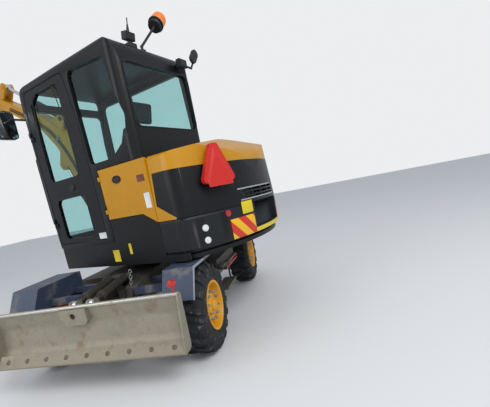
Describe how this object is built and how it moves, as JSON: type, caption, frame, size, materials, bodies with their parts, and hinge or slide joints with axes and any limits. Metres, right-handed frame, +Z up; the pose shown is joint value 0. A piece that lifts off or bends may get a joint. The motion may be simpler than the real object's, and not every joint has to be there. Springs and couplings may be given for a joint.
{
  "type": "compact wheeled excavator with dozer blade",
  "caption": "Compact excavator on four wheels with a steered axle, a front dozer blade, an upper body that turns on a ring, a glazed cab, a boom that swings at its post, an arm and a toothed bucket",
  "frame": {"origin": "on the ground, under the middle of the whole machine's bounding box", "axes": "+Z up, +X from the swing axis towards the dozer blade, +Y towards the left wheels"},
  "size_m": [3.9664, 6.4028, 3.8073],
  "materials": {
    "dark_paint": "satin",
    "black_paint": "satin",
    "slate_paint": "satin",
    "yellow_paint": "gloss",
    "bare_steel": "satin",
    "bright_rod": "polished",
    "worn_steel": "worn",
    "tyre_rubber": "matte",
    "window_glass": "tinted",
    "seat_plastic": "matte",
    "lamp_plastic": "gloss",
    "orange_plastic": "gloss",
    "red_sign": "satin"
  },
  "bodies": {
    "chassis": {"chassis_frame": "dark_paint", "slew_ring": "bare_steel", "drive_axle": "black_paint", "steer_axle": "black_paint", "fenders": "slate_paint", "steps": "dark_paint"},
    "knuckle_left": {"knuckle_left": "dark_paint"},
    "knuckle_right": {"knuckle_right": "dark_paint"},
    "wheel_drive_left": {"tyre_drive_left": "tyre_rubber", "rim_drive_left": "yellow_paint"},
    "wheel_drive_right": {"tyre_drive_right": "tyre_rubber", "rim_drive_right": "yellow_paint"},
    "wheel_steer_left": {"tyre_steer_left": "tyre_rubber", "rim_steer_left": "yellow_paint"},
    "wheel_steer_right": {"tyre_steer_right": "tyre_rubber", "rim_steer_right": "yellow_paint"},
    "blade_links": {"blade_links": "dark_paint"},
    "blade_top_link": {"blade_top_link": "dark_paint"},
    "blade": {"blade": "worn_steel", "blade_lamps": "red_sign"},
    "blade_barrels": {"blade_barrels": "dark_paint"},
    "blade_rods": {"blade_rods": "bright_rod"},
    "upper": {"upper_frame": "black_paint", "counterweight": "dark_paint", "engine": "bare_steel", "side_panels": "black_paint", "tank_cover": "dark_paint", "cab_shell": "black_paint", "cab_glass": "window_glass", "seat": "seat_plastic", "console": "seat_plastic", "roof_lamps": "lamp_plastic", "beacon_stem": "lamp_plastic", "beacon": "orange_plastic", "handrails": "black_paint", "mirror_arm": "black_paint"},
    "hood": {"hood": "yellow_paint", "engine_door": "black_paint", "rear_signs": "red_sign"},
    "battery_door": {"battery_door": "yellow_paint"},
    "cab_door": {"cab_door": "black_paint", "door_glass": "window_glass"},
    "kingpost": {"kingpost": "black_paint"},
    "boom": {"boom": "yellow_paint"},
    "boom_barrel": {"boom_barrel": "dark_paint"},
    "boom_rod": {"boom_rod": "bright_rod"},
    "arm": {"arm": "yellow_paint"},
    "arm_barrel": {"arm_barrel": "dark_paint"},
    "arm_rod": {"arm_rod": "bright_rod"},
    "bucket": {"bucket": "dark_paint"},
    "rocker": {"rocker": "dark_paint"},
    "bucket_link": {"bucket_link": "dark_paint"},
    "bucket_barrel": {"bucket_barrel": "dark_paint"},
    "bucket_rod": {"bucket_rod": "bright_rod"}
  },
  "joints": [
    {"name": "swing", "type": "hinge", "parent": "chassis", "child": "upper", "pos_m": [0.193, 1.687, 0.876], "axis": [0, 0, 1], "continuous": true},
    {"name": "steer_left", "type": "hinge", "parent": "chassis", "child": "knuckle_left", "pos_m": [-0.767, 2.242, 0.415], "axis": [0, 0, 1], "range_deg": [-30, 30]},
    {"name": "steer_right", "type": "hinge", "parent": "chassis", "child": "knuckle_right", "pos_m": [-0.767, 1.132, 0.415], "axis": [0, 0, 1], "range_deg": [-30.5, 30.5]},
    {"name": "roll_drive_left", "type": "hinge", "parent": "chassis", "child": "wheel_drive_left", "pos_m": [1.333, 2.477, 0.415], "axis": [0, 1, 0], "continuous": true},
    {"name": "roll_drive_right", "type": "hinge", "parent": "chassis", "child": "wheel_drive_right", "pos_m": [1.333, 0.897, 0.415], "axis": [0, 1, 0], "continuous": true},
    {"name": "roll_steer_left", "type": "hinge", "parent": "knuckle_left", "child": "wheel_steer_left", "pos_m": [-0.767, 2.477, 0.415], "axis": [0, 1, 0], "continuous": true},
    {"name": "roll_steer_right", "type": "hinge", "parent": "knuckle_right", "child": "wheel_steer_right", "pos_m": [-0.767, 0.897, 0.415], "axis": [0, 1, 0], "continuous": true},
    {"name": "blade_lift", "type": "hinge", "parent": "chassis", "child": "blade_links", "pos_m": [1.469, 1.687, 0.29], "axis": [0, -1, 0], "range_deg": [-46, 0]},
    {"name": "blade_top", "type": "hinge", "parent": "chassis", "child": "blade_top_link", "pos_m": [1.469, 1.687, 0.47], "axis": [0, -1, 0], "range_deg": [-46.5, 0.5]},
    {"name": "blade_level", "type": "hinge", "parent": "blade_links", "child": "blade", "pos_m": [1.80244, 1.687, 0.43846], "axis": [0, -1, 0], "range_deg": [-0.5, 46.5]},
    {"name": "blade_barrels_turn", "type": "hinge", "parent": "chassis", "child": "blade_barrels", "pos_m": [1.283, 1.687, 0.79], "axis": [0, -1, 0], "range_deg": [-26.78, 0.5]},
    {"name": "blade_rods_slide", "type": "slide", "parent": "blade_barrels", "child": "blade_rods", "axis": [0.9938, 0, -0.1115], "range_m": [-0.002, 0.11263]},
    {"name": "boom_swing", "type": "hinge", "parent": "upper", "child": "kingpost", "pos_m": [-0.35004, 0.81636, 1], "axis": [0, 0, -1], "range_deg": [-60, 60]},
    {"name": "boom_lift", "type": "hinge", "parent": "kingpost", "child": "boom", "pos_m": [-0.40864, 0.64617, 1.33], "axis": [-0.9455, 0.3256, 0], "range_deg": [-81, 14]},
    {"name": "boom_barrel_turn", "type": "hinge", "parent": "kingpost", "child": "boom_barrel", "pos_m": [-0.43143, 0.57998, 1], "axis": [-0.9455, 0.3256, 0], "range_deg": [-73.46, 13.11]},
    {"name": "boom_rod_slide", "type": "slide", "parent": "boom_barrel", "child": "boom_rod", "axis": [-0.1397, -0.4056, 0.9033], "range_m": [-0.40735, 0.07206]},
    {"name": "arm_turn", "type": "hinge", "parent": "boom", "child": "arm", "pos_m": [-1.02806, -1.15275, 3.51866], "axis": [0.9455, -0.3256, 0], "range_deg": [-26, 70]},
    {"name": "arm_barrel_turn", "type": "hinge", "parent": "boom", "child": "arm_barrel", "pos_m": [-0.54144, 0.2605, 2.89669], "axis": [-0.9455, 0.3256, 0], "range_deg": [-2.62, 1.29]},
    {"name": "arm_rod_slide", "type": "slide", "parent": "arm_barrel", "child": "arm_rod", "axis": [-0.2704, -0.7852, 0.5571], "range_m": [-0.13134, 0.35023]},
    {"name": "bucket_curl", "type": "hinge", "parent": "arm", "child": "bucket", "pos_m": [-1.53122, -2.61403, 3.10455], "axis": [-0.9455, 0.3256, 0], "range_deg": [-20, 115]},
    {"name": "rocker_turn", "type": "hinge", "parent": "arm", "child": "rocker", "pos_m": [-1.42682, -2.31085, 3.22152], "axis": [-0.9455, 0.3256, 0], "range_deg": [-13.93, 77.7]},
    {"name": "link_turn", "type": "hinge", "parent": "rocker", "child": "bucket_link", "pos_m": [-1.5161, -2.57012, 3.36612], "axis": [-0.9455, 0.3256, 0], "range_deg": [-87.91, 15.7]},
    {"name": "bucket_barrel_turn", "type": "hinge", "parent": "arm", "child": "bucket_barrel", "pos_m": [-1.11224, -1.39724, 3.7496], "axis": [-0.9455, 0.3256, 0], "range_deg": [-1.4, 5.65]},
    {"name": "bucket_rod_slide", "type": "slide", "parent": "bucket_barrel", "child": "bucket_rod", "axis": [-0.311, -0.9033, -0.2954], "range_m": [-0.37443, 0.06677]},
    {"name": "cab_door_swing", "type": "hinge", "parent": "upper", "child": "cab_door", "pos_m": [0.88113, 0.81972, 1.35], "axis": [0, 0, -1], "range_deg": [0, 100]},
    {"name": "battery_door_swing", "type": "hinge", "parent": "upper", "child": "battery_door", "pos_m": [1.17095, 1.66755, 1.4], "axis": [0, 0, -1], "range_deg": [0, 90]},
    {"name": "hood_lift", "type": "hinge", "parent": "upper", "child": "hood", "pos_m": [0.4935, 2.55971, 1.912], "axis": [0.9455, -0.3256, 0], "range_deg": [0, 50]}
  ],
  "couplings": [
    {"joint": "steer_right", "follows": "steer_left", "ratio": 1},
    {"joint": "blade_top", "follows": "blade_lift", "ratio": 1},
    {"joint": "blade_level", "follows": "blade_lift", "ratio": -1},
    {"joint": "blade_barrels_turn", "follows": "blade_lift", "ratio": 0.57126},
    {"joint": "blade_rods_slide", "follows": "blade_lift", "m_per_rad": -0.13779},
    {"joint": "boom_barrel_turn", "follows": "boom_lift", "ratio": 0.90069},
    {"joint": "boom_rod_slide", "follows": "boom_lift", "m_per_rad": 0.28673},
    {"joint": "arm_barrel_turn", "follows": "arm_turn", "ratio": -0.030316},
    {"joint": "arm_rod_slide", "follows": "arm_turn", "m_per_rad": 0.28503},
    {"joint": "rocker_turn", "follows": "bucket_curl", "ratio": 0.67135},
    {"joint": "link_turn", "follows": "bucket_curl", "ratio": -0.76006},
    {"joint": "bucket_barrel_turn", "follows": "bucket_curl", "ratio": 0.04476},
    {"joint": "bucket_rod_slide", "follows": "bucket_curl", "m_per_rad": -0.18555}
  ]
}
